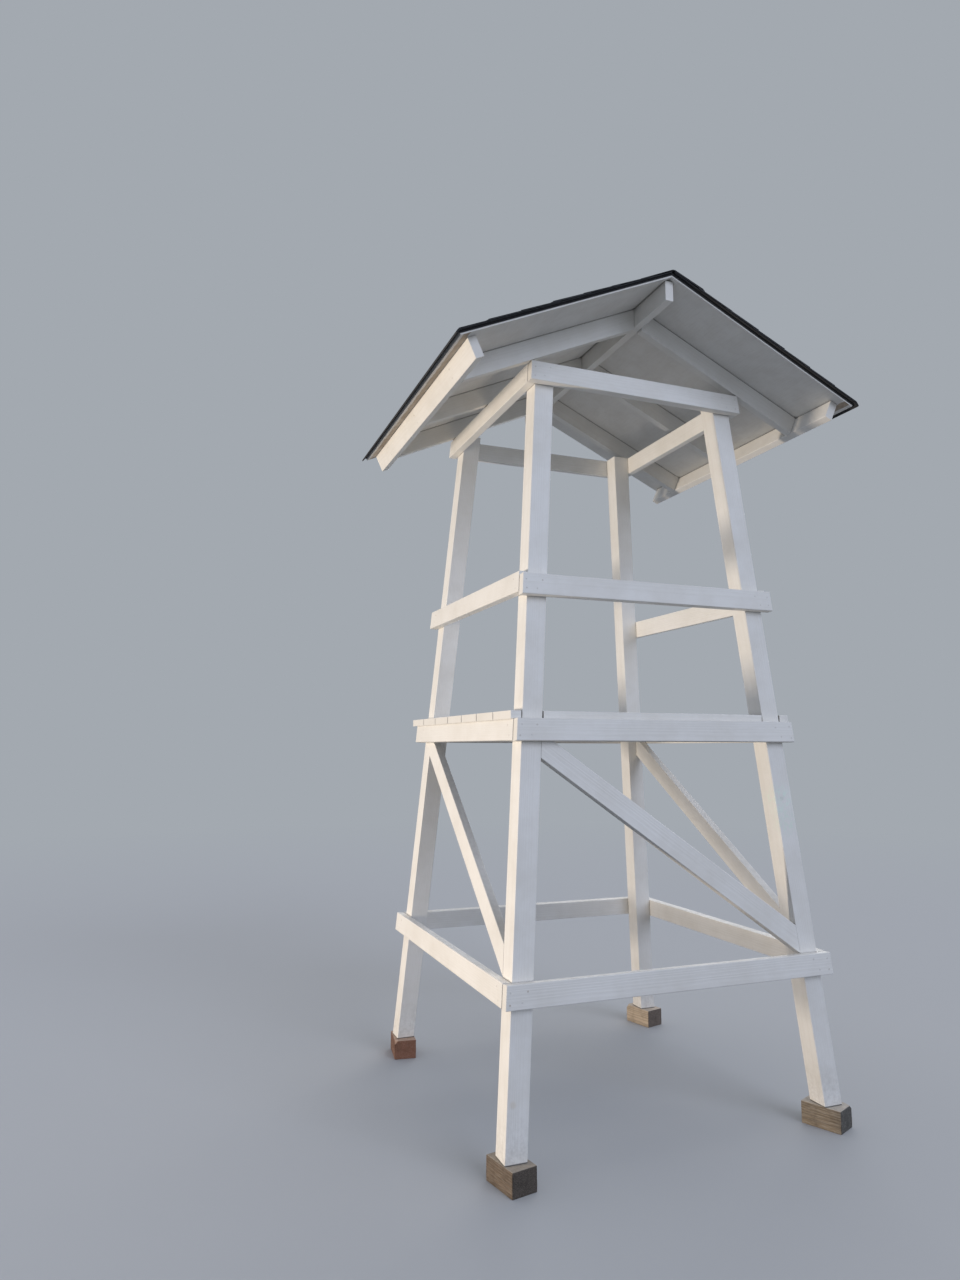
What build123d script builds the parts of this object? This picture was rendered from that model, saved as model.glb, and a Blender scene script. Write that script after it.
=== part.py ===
from build123d import *
import os
from math import atan, cos, sin, tan, radians

# A lifeguard tower of white painted timber: four posts that lean inwards both ways,
# boards nailed flat on their faces, a plank deck, and a small gable roof.
# Millimetres. X runs to the right along the front, Y to the back, Z up from the ground.

# The frame, measured over the posts' outer faces at their feet and at their heads
base_width = 1520
base_depth = 1520
head_width = 1000
head_depth = 1000
post_height = 3136

# Timber sizes
post_side = 89
board_thickness = 38
board_depth = 89
edge_rounding = 3

# Foot blocks: offcuts of post timber laid on their sides
block_height = 89
block_width = 110
block_length = 170
block_turns = {"front_left": 12, "front_right": 24, "back_left": -8, "back_right": 15}

# Heights of the rails' lower edges above the posts' feet
bottom_rail_height = 519
platform_rail_height = 1497
front_handrail_height = 2090
side_handrail_height = 2104

# How far the side rails run past the back posts' outer faces
handrail_tail = 30
platform_rail_tail = 58
rail_tail = 38

# Braces: how far below the platform rails their lower edges meet the posts
brace_head_drop = 66

# Deck of planks laid from side to side
plank_count = 7
plank_thickness = 33
plank_gap = 6
deck_side_overhang = 10
deck_back_overhang = 107
notch_clearance = 3

# Roof framing
roof_pitch = 24.5
rafter_length = 970
front_overhang = 279
back_overhang = 190
ridge_front_setback = 23
ridge_back_setback = 25
fascia_front_setback = 46
fascia_back_setback = 25

# Roof covering
sheathing_thickness = 15
eave_overhang = 48
roofing_thickness = 13
roofing_eave_thickness = 10
roofing_ridge_thickness = 6
roofing_eave_drip = 22
roofing_rake_drip = 18
course_exposure = 153
course_step = 4
edge_strip_thickness = 4
edge_strip_depth = 8
ridge_cap_side = 150
ridge_cap_thickness = 3

# Slopes of the frame's faces
lean_x = (base_width - head_width) / 2 / post_height
lean_y = (base_depth - head_depth) / 2 / post_height
tilt_x = atan(lean_x)
tilt_y = atan(lean_y)
post_plan_x = post_side / cos(tilt_x)
post_plan_y = post_side / cos(tilt_y)
foot_level = block_height
pitch = radians(roof_pitch)

# The stand's middle lies a little behind the origin, which is under the middle of the whole plan
block_turn = radians(max(abs(block_turns["back_left"]), abs(block_turns["back_right"])))
block_reach = (block_length * cos(block_turn) + block_width * sin(block_turn)) / 2
plan_front = head_depth / 2 + board_thickness * cos(tilt_y) + front_overhang + roofing_rake_drip
plan_back = (base_depth - post_plan_y) / 2 + block_reach
stand_y = (plan_front - plan_back) / 2

# The four leaning faces of the frame, each seen from outside
front_face = Plane(origin=(0, stand_y - base_depth / 2, foot_level), x_dir=(1, 0, 0), z_dir=(0, -1, lean_y))
back_face = Plane(origin=(0, stand_y + base_depth / 2, foot_level), x_dir=(-1, 0, 0), z_dir=(0, 1, lean_y))
left_face = Plane(origin=(-base_width / 2, stand_y, foot_level), x_dir=(0, -1, 0), z_dir=(-1, 0, lean_x))
right_face = Plane(origin=(base_width / 2, stand_y, foot_level), x_dir=(0, 1, 0), z_dir=(1, 0, lean_x))
corners = {"front_left": (-1, -1), "front_right": (1, -1), "back_left": (-1, 1), "back_right": (1, 1)}
feet = {
    corner: (side * (base_width - post_plan_x) / 2, stand_y + end * (base_depth - post_plan_y) / 2)
    for corner, (side, end) in corners.items()
}

os.makedirs("parts", exist_ok=True)


def save(shape, name):
    """Labels a finished piece and writes its file."""
    shape.label = name
    export_step(shape, "parts/" + name + ".step")


def half_width(height):
    """Half the frame's width over the posts, at a height above their feet."""
    return base_width / 2 - lean_x * height


def half_depth(height):
    """Half the frame's depth over the posts, at a height above their feet."""
    return base_depth / 2 - lean_y * height


# Posts: square timbers that lean both ways, with level cuts at foot and head
for corner, (side, end) in corners.items():
    run = Vector(-side * lean_x, -end * lean_y, 1) * post_height
    with BuildPart() as post:
        with BuildSketch(Plane.XY.offset(foot_level)):
            with Locations(feet[corner]):
                RectangleRounded(post_plan_x, post_plan_y, edge_rounding)
        extrude(amount=run.length, dir=run)
    save(post.part, corner + "_post")

# Foot blocks: short lengths of timber on their sides, none of them laid quite square
for corner, turn in block_turns.items():
    with BuildPart() as block:
        with BuildSketch(Plane.XY):
            with Locations(Location(feet[corner], turn)):
                Rectangle(block_width, block_length)
        extrude(amount=block_height)
    save(block.part, corner + "_foot_block")

# Heights and lengths that pieces share
deck_height = platform_rail_height + board_depth * cos(tilt_x)
deck_level = foot_level + deck_height
top_rail_height = post_height - board_depth * cos(tilt_x)
rail_stock = 2 * max(base_width, base_depth)
brace_stock = 2 * board_depth


def rail(face, height, start_cut, end_cut):
    """A board on edge, flat on one leaning face of the frame, cut to length by two planes."""
    slant = 1 / cos(tilt_x if face in (left_face, right_face) else tilt_y)
    with BuildPart() as board:
        with BuildSketch(face):
            with Locations((0, height * slant)):
                Rectangle(rail_stock, board_depth, align=(Align.CENTER, Align.MIN))
        extrude(amount=board_thickness)
        fillet(board.edges().filter_by(Axis((0, 0, 0), face.x_dir)), edge_rounding)
        split(bisect_by=start_cut, keep=Keep.BOTTOM)
        split(bisect_by=end_cut, keep=Keep.BOTTOM)
    return board.part


# Cuts at the rails' ends: front rails lap the side rails' ends as far as their rounded edges
left_lap = left_face.offset(board_thickness - edge_rounding)
right_lap = right_face.offset(board_thickness - edge_rounding)

# Bottom rails
save(rail(front_face, bottom_rail_height, left_lap, right_lap), "front_bottom_rail")
save(rail(back_face, bottom_rail_height, left_face, right_face), "back_bottom_rail")
save(rail(left_face, bottom_rail_height, front_face, back_face.offset(rail_tail)), "left_bottom_rail")
save(rail(right_face, bottom_rail_height, front_face, back_face.offset(rail_tail)), "right_bottom_rail")

# Platform rails, those under the planks planed level along their top edges
save(rail(front_face, platform_rail_height, left_lap, right_lap), "front_platform_rail")
platform_tail = back_face.offset(platform_rail_tail)
platform_rails = {
    "back_platform_rail": rail(back_face, platform_rail_height, left_face, right_face),
    "left_platform_rail": rail(left_face, platform_rail_height, front_face, platform_tail),
    "right_platform_rail": rail(right_face, platform_rail_height, front_face, platform_tail),
}
for name, stock in platform_rails.items():
    with BuildPart() as platform_rail:
        add(stock)
        split(bisect_by=Plane.XY.offset(deck_level), keep=Keep.BOTTOM)
    save(platform_rail.part, name)

# Handrails on three sides, the back left open as the way in
save(rail(front_face, front_handrail_height, left_lap, right_lap), "front_handrail")
save(rail(left_face, side_handrail_height, front_face, back_face.offset(handrail_tail)), "left_handrail")
save(rail(right_face, side_handrail_height, front_face, back_face.offset(handrail_tail)), "right_handrail")

# Top rails round the heads of the posts, which carry the rafters
save(rail(front_face, top_rail_height, left_lap, right_lap), "front_top_rail")
save(rail(back_face, top_rail_height, left_face, right_face), "back_top_rail")
save(rail(left_face, top_rail_height, front_face, back_face.offset(rail_tail)), "left_top_rail")
save(rail(right_face, top_rail_height, front_face, back_face.offset(rail_tail)), "right_top_rail")


def brace(face, fall, half_span, tilt, post_plan, start_cut, end_cut):
    """A board between two posts, flush with their outer faces, falling to the right or left in the face."""
    head_height = platform_rail_height - brace_head_drop
    foot_height = bottom_rail_height + board_depth * cos(tilt)
    head = Vector(-fall * (half_span(head_height) - post_plan), head_height / cos(tilt))
    foot = Vector(fall * (half_span(foot_height) - post_plan), foot_height / cos(tilt))
    along = (foot - head).normalized()
    across = Vector(-along.Y, along.X) * fall * board_depth
    start = head - along * brace_stock
    finish = foot + along * brace_stock
    with BuildPart() as board:
        with BuildSketch(face):
            with BuildLine():
                Polyline(start, finish, finish + across, start + across, close=True)
            make_face()
        extrude(amount=-board_thickness)
        fillet(board.edges().sort_by(SortBy.LENGTH)[-4:], edge_rounding)
        split(bisect_by=start_cut, keep=Keep.BOTTOM)
        split(bisect_by=end_cut, keep=Keep.BOTTOM)
    return board.part


# Braces, each cut on a compound angle to the inner faces of its two posts
left_inner = left_face.offset(-post_side)
right_inner = right_face.offset(-post_side)
front_inner = front_face.offset(-post_side)
back_inner = back_face.offset(-post_side)
save(brace(front_face, 1, half_width, tilt_y, post_plan_x, left_inner, right_inner), "front_brace")
save(brace(left_face, 1, half_depth, tilt_x, post_plan_y, back_inner, front_inner), "left_brace")
save(brace(right_face, -1, half_depth, tilt_x, post_plan_y, back_inner, front_inner), "right_brace")

# Deck planks, notched round the posts that pass through them
deck_top_height = deck_height + plank_thickness
deck_half_width = half_width(deck_height) + board_thickness + deck_side_overhang
deck_front = -half_depth(deck_height)
deck_back = half_depth(deck_height) + deck_back_overhang
plank_pitch = (deck_back - deck_front + plank_gap) / plank_count
plank_width = plank_pitch - plank_gap
notch_outer_x = half_width(deck_height) + notch_clearance
notch_outer_y = half_depth(deck_height) + notch_clearance
notch_inner_x = half_width(deck_top_height) - post_plan_x - notch_clearance
notch_inner_y = half_depth(deck_top_height) - post_plan_y - notch_clearance
notch_places = [
    (side * (notch_outer_x + notch_inner_x) / 2, stand_y + end * (notch_outer_y + notch_inner_y) / 2)
    for side, end in corners.values()
]


def plank(number):
    """One deck plank, counted from the front, with the posts' notches taken out of it."""
    with BuildPart() as board:
        with BuildSketch(Plane.XY.offset(deck_level)):
            with Locations((0, stand_y + deck_front + number * plank_pitch)):
                Rectangle(2 * deck_half_width, plank_width, align=(Align.CENTER, Align.MIN))
        extrude(amount=plank_thickness)
        fillet(board.edges().filter_by(Axis.X), edge_rounding)
        with BuildSketch(Plane.XY.offset(deck_level)):
            with Locations(notch_places):
                Rectangle(notch_outer_x - notch_inner_x, notch_outer_y - notch_inner_y)
        extrude(amount=plank_thickness, mode=Mode.SUBTRACT)
    return board.part


save(plank(0), "front_deck_plank")
save(plank(plank_count - 1), "back_deck_plank")
with BuildPart() as middle_planks:
    for number in range(1, plank_count - 1):
        add(plank(number))
save(middle_planks.part, "middle_deck_planks")


def rounding_loss(angle):
    """How far a plane at this angle to a board's face comes down when the edge it lies on is rounded."""
    return edge_rounding * (sin(angle) + cos(angle) - 1) / cos(pitch)


# Roof geometry: the rafters' lower edges bear on the outer top edges of the rails round the post heads
bearing_x = head_width / 2 + board_thickness * cos(tilt_x)
bearing_level = foot_level + post_height + board_thickness * sin(tilt_x) - rounding_loss(pitch + tilt_x)
apex_level = bearing_level + board_depth / cos(pitch) + bearing_x * tan(pitch)
bearing_y = head_depth / 2 + board_thickness * cos(tilt_y)
sheathing_front = stand_y - bearing_y - front_overhang
sheathing_back = stand_y + bearing_y + back_overhang


def slope_point(side, along, above):
    """A point in the roof's section: down the slope from the apex, and square to the rafters' top edges."""
    return (
        side * (along * cos(pitch) + above * sin(pitch)),
        apex_level - along * sin(pitch) + above * cos(pitch),
    )


def along_at(x, above):
    """How far down the slope a line parallel to the rafters' top edges is x from the middle."""
    return (x - above * sin(pitch)) / cos(pitch)


def roof_piece(points, front, back):
    """A piece with one section in the roof, running from front to back."""
    with BuildPart() as piece:
        with BuildSketch(Plane.XZ.offset(-front)):
            with BuildLine():
                Polyline(*points, close=True)
            make_face()
        extrude(amount=front - back)
    return piece.part


def roof_timber(points, front, back):
    """A board in the roof, its four long edges rounded."""
    with BuildPart() as board:
        add(roof_piece(points, front, back))
        fillet(board.edges().sort_by(SortBy.LENGTH)[-4:], edge_rounding)
    return board.part


# Ridge beam, on edge, its top edges against the sheathing
ridge_half = board_thickness / 2
ridge_top = apex_level - ridge_half * tan(pitch) + rounding_loss(pitch)
ridge_bottom = ridge_top - board_depth
ridge_points = [
    (-ridge_half, ridge_bottom),
    (ridge_half, ridge_bottom),
    (ridge_half, ridge_top),
    (-ridge_half, ridge_top),
]
ridge_front = sheathing_front + ridge_front_setback
ridge_back = sheathing_back - ridge_back_setback
save(roof_timber(ridge_points, ridge_front, ridge_back), "ridge_beam")

# Rafters in three pairs, plumb-cut against the ridge beam and square-cut at the tail.
# The front pair stands flush with the front top rail, the back pair over the back posts.
rafter_fronts = {
    "front": stand_y - bearing_y,
    "middle": stand_y - board_thickness / 2,
    "back": stand_y + head_depth / 2 - board_thickness,
}
sides = {"left": -1, "right": 1}
for row, rafter_front in rafter_fronts.items():
    for hand, side in sides.items():
        rafter_points = [
            slope_point(side, along_at(ridge_half, 0), 0),
            slope_point(side, rafter_length, 0),
            slope_point(side, rafter_length, -board_depth),
            slope_point(side, along_at(ridge_half, -board_depth), -board_depth),
        ]
        rafter_back = rafter_front + board_thickness
        save(roof_timber(rafter_points, rafter_front, rafter_back), row + "_" + hand + "_rafter")

# Fascia boards nailed to the rafters' tails
fascia_outer = rafter_length + board_thickness
sheathing_length = fascia_outer + eave_overhang
fascia_front = sheathing_front + fascia_front_setback
fascia_back = sheathing_back - fascia_back_setback
for hand, side in sides.items():
    fascia_points = [
        slope_point(side, rafter_length, 0),
        slope_point(side, fascia_outer, 0),
        slope_point(side, fascia_outer, -board_depth),
        slope_point(side, rafter_length, -board_depth),
    ]
    save(roof_timber(fascia_points, fascia_front, fascia_back), hand + "_fascia")

# Sheathing boards, mitred at the ridge
for hand, side in sides.items():
    sheathing_points = [
        slope_point(side, 0, 0),
        slope_point(side, sheathing_length, 0),
        slope_point(side, sheathing_length, sheathing_thickness),
        slope_point(side, along_at(0, sheathing_thickness), sheathing_thickness),
    ]
    sheathing = roof_piece(sheathing_points, sheathing_front, sheathing_back)
    save(sheathing, hand + "_roof_sheathing")

# Roofing laid in courses, each butt standing proud of the course below, with fewer layers
# at the eave and at the ridge than between them
roofing_top = sheathing_thickness + roofing_thickness
roofing_length = sheathing_length + roofing_eave_drip
roofing_front = sheathing_front - roofing_rake_drip
roofing_back = sheathing_back + roofing_rake_drip
course_count = int((roofing_length - ridge_cap_side) / course_exposure)
last_butt = roofing_length - course_count * course_exposure
eave_top = sheathing_thickness + roofing_eave_thickness
crown_top = sheathing_thickness + roofing_ridge_thickness
crown_along = along_at(0, crown_top)
for hand, side in sides.items():
    roofing_points = [
        slope_point(side, along_at(0, sheathing_thickness), sheathing_thickness),
        slope_point(side, roofing_length, sheathing_thickness),
        slope_point(side, roofing_length, eave_top),
    ]
    for course in range(1, course_count + 1):
        butt = roofing_length - course * course_exposure
        roofing_points.append(slope_point(side, butt, roofing_top - course_step))
        roofing_points.append(slope_point(side, butt, roofing_top))
    roofing_points.append(slope_point(side, crown_along, crown_top))
    roofing = roof_piece(roofing_points, roofing_front, roofing_back)
    save(roofing, hand + "_roofing")

# Ridge cap folded over the ridge, lying on the last courses of both slopes
cap_climb = (ridge_cap_side - crown_along) / (last_butt - crown_along)
cap_seat = crown_top + (roofing_top - crown_top) * cap_climb
cap_edge_top = cap_seat + ridge_cap_thickness
cap_crown = crown_top + ridge_cap_thickness
cap_points = [
    slope_point(-1, ridge_cap_side, cap_seat),
    slope_point(-1, ridge_cap_side, cap_edge_top),
    slope_point(1, along_at(0, cap_crown), cap_crown),
    slope_point(1, ridge_cap_side, cap_edge_top),
    slope_point(1, ridge_cap_side, cap_seat),
    slope_point(1, crown_along, crown_top),
]
save(roof_piece(cap_points, roofing_front, roofing_back), "ridge_cap")

# Edge strips on the sheathing's sloping edges, tucked up under the roofing
strip_bottom = sheathing_thickness - edge_strip_depth
for hand, side in sides.items():
    strip_points = [
        slope_point(side, along_at(0, sheathing_thickness), sheathing_thickness),
        slope_point(side, sheathing_length, sheathing_thickness),
        slope_point(side, sheathing_length, strip_bottom),
        slope_point(side, along_at(0, strip_bottom), strip_bottom),
    ]
    with BuildPart() as edge_strips:
        add(roof_piece(strip_points, sheathing_front - edge_strip_thickness, sheathing_front))
        add(roof_piece(strip_points, sheathing_back, sheathing_back + edge_strip_thickness))
    save(edge_strips.part, hand + "_roof_edge_strips")
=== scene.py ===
import math
import random

import bmesh
import bpy
from mathutils import Matrix, Vector


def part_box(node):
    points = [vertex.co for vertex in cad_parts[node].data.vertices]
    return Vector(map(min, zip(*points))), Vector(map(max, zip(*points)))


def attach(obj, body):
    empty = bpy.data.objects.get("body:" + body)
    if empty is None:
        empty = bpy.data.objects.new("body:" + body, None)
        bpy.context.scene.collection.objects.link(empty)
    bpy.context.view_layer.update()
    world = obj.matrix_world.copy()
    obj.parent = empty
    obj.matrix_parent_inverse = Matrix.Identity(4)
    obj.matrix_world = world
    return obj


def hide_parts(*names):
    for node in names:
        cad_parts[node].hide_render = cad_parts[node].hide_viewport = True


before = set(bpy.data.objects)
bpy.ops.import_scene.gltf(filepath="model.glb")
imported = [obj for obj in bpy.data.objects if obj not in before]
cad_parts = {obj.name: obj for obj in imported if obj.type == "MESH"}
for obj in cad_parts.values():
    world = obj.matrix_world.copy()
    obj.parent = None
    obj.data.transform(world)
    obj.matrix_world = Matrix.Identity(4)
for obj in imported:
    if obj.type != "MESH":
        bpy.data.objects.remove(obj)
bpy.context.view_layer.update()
bpy.ops.object.select_all(action="DESELECT")


# The studio. A plain pale floor runs out into a backdrop of its own colour. A warm lamp stands
# low on the left, with weaker ones in front, behind and above. The camera is at eye height,
# at the tower's front left, and looks up a little.
paper = "#A3A9B0"
floor_seen = "#C4C6C7"
floor_bounce = "#7C7F83"
floor_side = 60
fade_start = 5
fade_end = 14
camera_place = (-1.9876, -3.7259, 1.5602)
camera_heading = math.radians(20.788)
camera_rise = math.radians(7.211)
camera_roll = math.radians(0.127)
lens_mm = 23.953


def linear(colour):
    """An sRGB hex value as the linear colour that a socket takes."""
    channels = [int(colour[i : i + 2], 16) / 255 for i in (1, 3, 5)]
    return [c / 12.92 if c <= 0.04045 else ((c + 0.055) / 1.055) ** 2.4 for c in channels] + [1]


def add_node(tree, kind, inputs=None, **settings):
    """Adds a node with its settings, and sets its inputs or links them to nodes and sockets."""
    made = tree.nodes.new("ShaderNode" + kind)
    for name, value in settings.items():
        setattr(made, name, value)
    for name, value in (inputs or {}).items():
        if isinstance(value, bpy.types.Node):
            tree.links.new(value.outputs[0], made.inputs[name])
        elif isinstance(value, bpy.types.NodeSocket):
            tree.links.new(value, made.inputs[name])
        else:
            made.inputs[name].default_value = value
    return made


def empty_tree(owner):
    """The owner's node tree with nothing in it."""
    owner.use_nodes = True
    owner.node_tree.nodes.clear()
    return owner.node_tree


def aim(lamp_data, place, target, colour):
    """Puts a lamp of a colour in the scene and turns it to a target."""
    lamp_data.color = linear(colour)[:3]
    lamp = bpy.data.objects.new(lamp_data.name, lamp_data)
    bpy.context.scene.collection.objects.link(lamp)
    turn = (Vector(target) - Vector(place)).to_track_quat("-Z", "Y").to_matrix().to_4x4()
    lamp.matrix_world = Matrix.Translation(place) @ turn
    return lamp


def broad_lamp(name, towards, spread, strength, colour):
    """A broad, distant lamp. At a strength of 1, a white face that looks at it is lit to white."""
    lamp_data = bpy.data.lights.new(name, "SUN")
    lamp_data.angle = math.radians(spread)
    lamp_data.energy = math.pi * strength
    aim(lamp_data, towards, (0, 0, 0), colour)


# At a strength of 1, the left lamp would light a white face at its target to white
left_place = (-6, 0, 0.9)
left_target = (-0.7, 0, 1.8)
left_strength = 0.9
left_reach = (Vector(left_target) - Vector(left_place)).length
lamp_data = bpy.data.lights.new("left_lamp", "AREA")
lamp_data.shape = "RECTANGLE"
lamp_data.size = 0.35
lamp_data.size_y = 1.0
lamp_data.energy = (math.pi * left_reach) ** 2 * left_strength
left_lamp = aim(lamp_data, left_place, left_target, "#FFEFDC")
broad_lamp("front_lamp", (0.35, -1, 0.5), 40, 0.34, "#E1EAFF")
broad_lamp("back_lamp", (0.8, 1, 0.45), 40, 0.2, "#FFFFFF")
broad_lamp("top_lamp", (0.1, 0.1, 1), 50, 0.16, "#FFF8EE")

world = bpy.data.worlds.new("studio")
bpy.context.scene.world = world
tree = empty_tree(world)
path = add_node(tree, "LightPath")
mirrored = add_node(
    tree,
    "Math",
    {0: path.outputs["Is Glossy Ray"], 1: path.outputs["Is Transmission Ray"]},
    operation="MAXIMUM",
)
shown = add_node(tree, "Math", {0: path.outputs["Is Camera Ray"], 1: mirrored}, operation="MAXIMUM")
ambient = add_node(tree, "Background", {"Color": linear("#E2EBFF"), "Strength": 0.4})
backdrop = add_node(tree, "Background", {"Color": linear(paper), "Strength": 1})
either = add_node(tree, "MixShader", {"Fac": shown, 1: ambient, 2: backdrop})
add_node(tree, "OutputWorld", {"Surface": either})

bpy.ops.mesh.primitive_plane_add(size=floor_side)
floor = bpy.context.object
floor.name = "floor"
floor_paper = bpy.data.materials.new("matt_paper")
tree = empty_tree(floor_paper)
coords = add_node(tree, "TexCoord")
reach = add_node(tree, "VectorMath", {0: coords.outputs["Object"]}, operation="LENGTH")
fade = add_node(
    tree, "MapRange", {"Value": reach.outputs["Value"], "From Min": fade_start, "From Max": fade_end}
)
path = add_node(tree, "LightPath")
tone = add_node(
    tree,
    "MixRGB",
    {"Fac": path.outputs["Is Camera Ray"], "Color1": linear(floor_bounce), "Color2": linear(floor_seen)},
)
matt = add_node(tree, "BsdfDiffuse", {"Color": tone})
glow = add_node(tree, "Emission", {"Color": linear(paper), "Strength": 1})
either = add_node(tree, "MixShader", {"Fac": fade, 1: matt, 2: glow})
add_node(tree, "OutputMaterial", {"Surface": either})
floor.data.materials.append(floor_paper)

# The left lamp stands close to the floor. It is kept off the floor, where it would leave a
# bright pool, and off the underside of the roof, which is shaded in daylight.
rafters = [
    row + "_" + hand + "_rafter"
    for row in ("front", "middle", "back")
    for hand in ("left", "right")
]
under_roof = ["ridge_beam", "left_roof_sheathing", "right_roof_sheathing"] + rafters
not_lit = bpy.data.collections.new("not_lit_from_the_left")
for shaded in [floor] + [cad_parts[node] for node in under_roof]:
    not_lit.objects.link(shaded)
left_lamp.light_linking.receiver_collection = not_lit
for linked in not_lit.collection_objects:
    linked.light_linking.link_state = "EXCLUDE"

camera_data = bpy.data.cameras.new("camera")
camera_data.sensor_width = 36
camera_data.lens = lens_mm
camera = bpy.data.objects.new("camera", camera_data)
bpy.context.scene.collection.objects.link(camera)
heading = Matrix.Rotation(-camera_heading, 4, "Z")
rise = Matrix.Rotation(math.pi / 2 + camera_rise, 4, "X")
roll = Matrix.Rotation(camera_roll, 4, "Z")
camera.matrix_world = Matrix.Translation(camera_place) @ heading @ rise @ roll
bpy.context.scene.camera = camera
bpy.context.scene.view_settings.view_transform = "Standard"


# Foot blocks: short offcuts of rough sawn softwood that the posts stand on, laid by hand on
# the ground. They are bare, weathered grey or red-brown, dusty on top, each with a chipped
# corner and with dark growth rings showing on its sawn ends.
block_width = 0.110
block_length = 0.170
block_edge = 0.0025
saw_wander = 0.0012
flat_share = 0.1
chip_depth = 0.011
chip_lean = (1, 0.6, 1.4)
block_facts = {
    "front_left": {"turn": 12, "chip": (1, 1), "wood": "#6E5F50", "end": "#4D453E", "dust": "#A2998D"},
    "front_right": {"turn": 24, "chip": (1, -1), "wood": "#8C7D69", "end": "#504F4B", "dust": "#C2BBB1"},
    "back_left": {"turn": -8, "chip": (-1, -1), "wood": "#6B4A3B", "end": "#7A5240", "dust": "#B39C8D"},
    "back_right": {"turn": 15, "chip": (-1, 1), "wood": "#C0AE97", "end": "#6A5D53", "dust": "#C6BAAC"},
}
# At a scale of 1, a wave texture has a ring at every tau / 20
ring_unit = math.tau / 20


def pick(piece, kind, test):
    """In edit mode, selects only the faces, edges or vertices whose middle passes a test."""
    bpy.ops.mesh.select_mode(type=kind)
    bpy.ops.mesh.select_all(action="DESELECT")
    mesh = bmesh.from_edit_mesh(piece.data)
    if kind == "VERT":
        found = [vertex for vertex in mesh.verts if test(vertex.co)]
    elif kind == "EDGE":
        found = [edge for edge in mesh.edges if test((edge.verts[0].co + edge.verts[1].co) / 2)]
    else:
        found = [face for face in mesh.faces if test(face.calc_center_median())]
    for item in found:
        item.select_set(True)
    bmesh.update_edit_mesh(piece.data)


def place(piece, matrix):
    """Moves a piece and applies the move, so that its object stays at the origin."""
    piece.matrix_world = matrix
    bpy.ops.object.select_all(action="DESELECT")
    piece.select_set(True)
    bpy.context.view_layer.objects.active = piece
    bpy.ops.object.transform_apply(location=True, rotation=True, scale=True)
    piece.select_set(False)


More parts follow.
